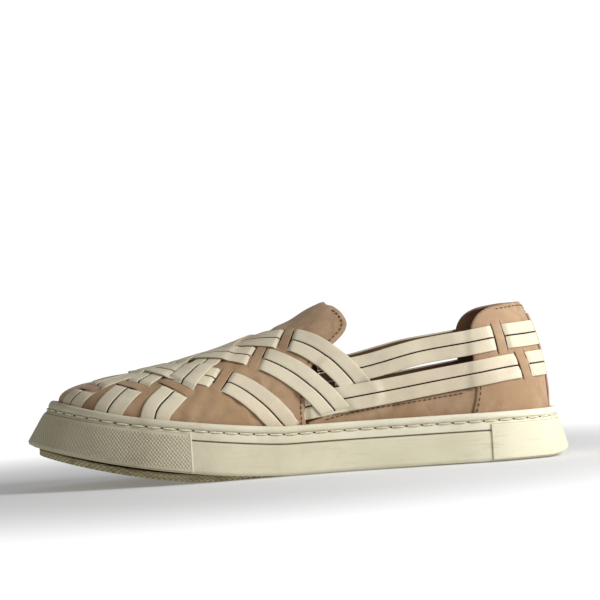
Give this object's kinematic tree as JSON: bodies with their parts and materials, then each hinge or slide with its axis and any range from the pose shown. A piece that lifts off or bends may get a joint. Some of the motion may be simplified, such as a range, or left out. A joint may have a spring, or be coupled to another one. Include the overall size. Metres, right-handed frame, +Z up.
{
  "type": "slip-on sneaker",
  "caption": "Low slip-on sneaker, right shoe: tan leather upper with ivory straps woven across the vamp and run along open sides, on a cream cup sole with rubber panels at toe and heel",
  "frame": {"origin": "middle of the shoe's box, on the floor plane that heel and forefoot stand on", "axes": "+X from heel to toe, +Y to the inner side of the foot, +Z up"},
  "size_m": [0.2834, 0.1034, 0.0889],
  "materials": {
    "tread_rubber": "matte, worn",
    "sole_rubber": "smooth, a little dirty",
    "welt_rubber": "smooth with a stitched channel",
    "panel_rubber": "finely textured",
    "insole_lining": "smooth lining leather",
    "tan_leather": "soft nubuck, with ivory straps"
  },
  "bodies": {
    "root": {"outsole": "tread_rubber", "midsole": "sole_rubber", "welt": "welt_rubber", "toe_bumper": "panel_rubber", "heel_bumper": "panel_rubber", "insole": "insole_lining", "upper": "tan_leather"}
  },
  "joints": []
}
